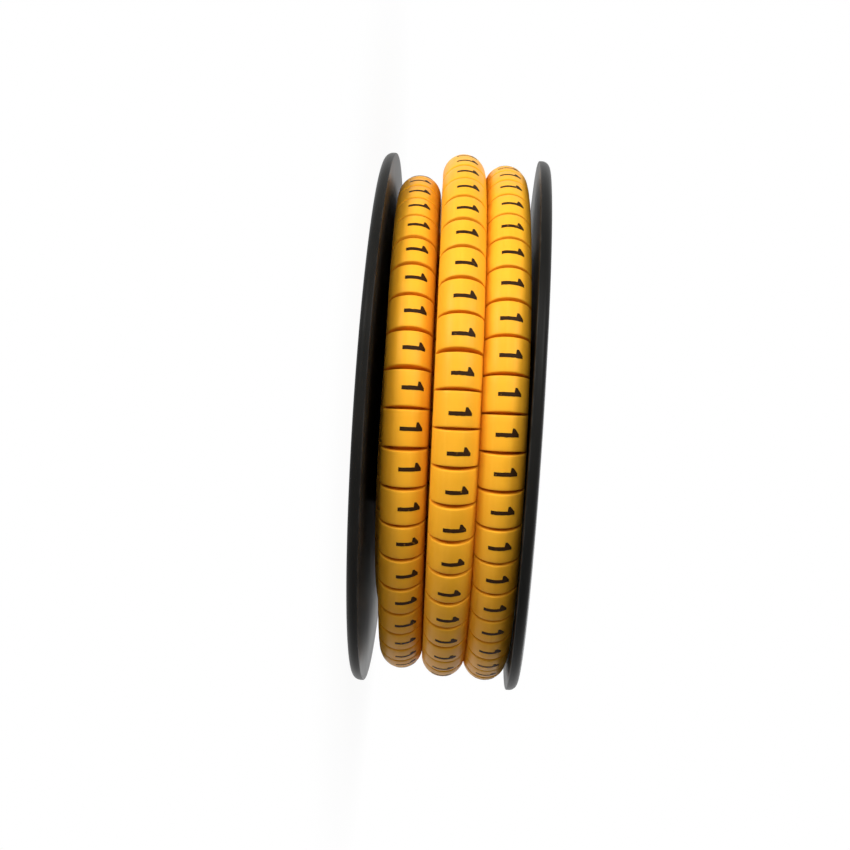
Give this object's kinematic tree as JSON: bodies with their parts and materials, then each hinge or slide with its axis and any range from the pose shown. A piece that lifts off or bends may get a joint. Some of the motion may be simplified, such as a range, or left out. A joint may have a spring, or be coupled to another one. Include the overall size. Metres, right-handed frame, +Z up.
{
  "type": "cable marker reel",
  "caption": "Black plastic reel wound with a yellow tubular marker strip, cut crosswise into short printed sleeves that are pulled off and slid over wires.",
  "frame": {"origin": "centre of the hub bore in the outer face of the flange that the reel stands on", "axes": "+Z up along the reel's axis, -Y towards the side that the picture shows, +X towards the picture's lower edge"},
  "size_m": [0.0747, 0.0744, 0.0227],
  "materials": {
    "reel_plastic": "satin black moulded plastic",
    "marker_vinyl": "semi-gloss soft yellow vinyl"
  },
  "bodies": {
    "root": {"reel": "reel_plastic", "marker_strip": "marker_vinyl"}
  },
  "joints": []
}
